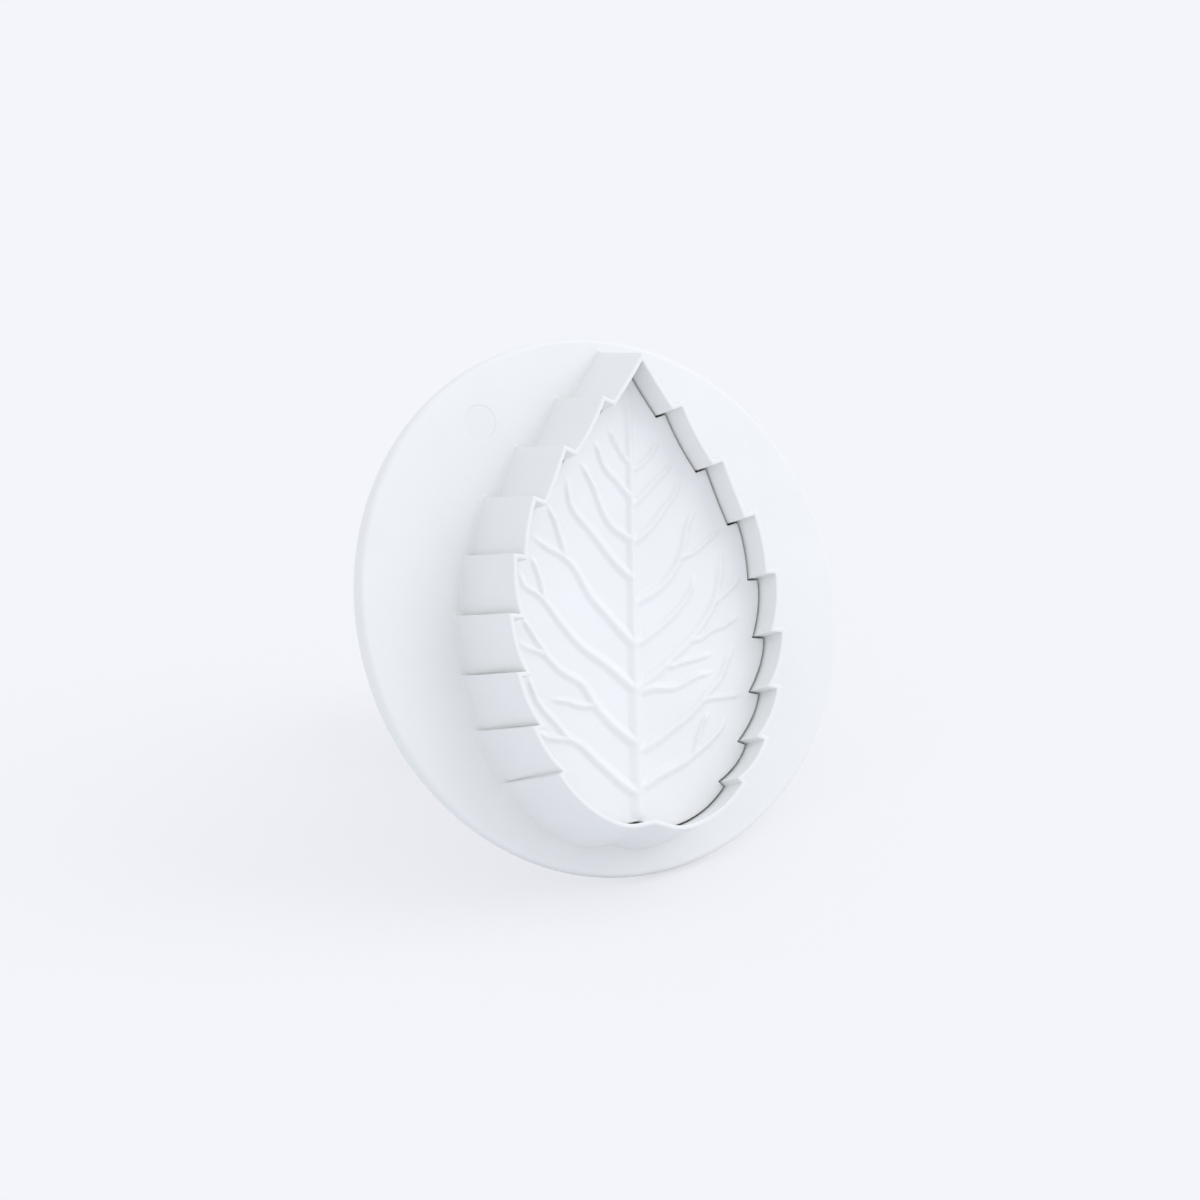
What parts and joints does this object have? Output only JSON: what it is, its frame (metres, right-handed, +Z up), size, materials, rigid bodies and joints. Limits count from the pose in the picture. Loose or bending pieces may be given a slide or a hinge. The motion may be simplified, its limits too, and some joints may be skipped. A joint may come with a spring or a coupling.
{
  "type": "plunger cutter",
  "caption": "Round plunger cutter with a serrated leaf-shaped cutting wall, a veined ejector plate and a sprung push knob.",
  "frame": {"origin": "on the table, under the middle of the tool's box as it lies on its rim and knob", "axes": "+Z up, the leaf faces -Y and leans back 30 degrees, +X to the right as the leaf is seen"},
  "size_m": [0.08, 0.0782, 0.0718],
  "materials": {
    "cutter_body": "white moulded plastic, satin gloss",
    "leaf_plate": "white moulded plastic, satin gloss",
    "plunger_stem": "white moulded plastic, polished by sliding",
    "return_spring": "drawn stainless spring wire",
    "push_knob": "white moulded plastic, satin gloss"
  },
  "bodies": {
    "cutter": {"cutter_body": "cutter_body", "return_spring": "return_spring"},
    "plunger": {"leaf_plate": "leaf_plate", "plunger_stem": "plunger_stem", "push_knob": "push_knob"}
  },
  "joints": [
    {"name": "plunger_slide", "type": "slide", "parent": "cutter", "child": "plunger", "axis": [0, -0.866, 0.5], "range_m": [0, 0.006], "stiffness_N_per_m": 350, "springref_m": -0.006, "deforming": ["return_spring"]}
  ]
}
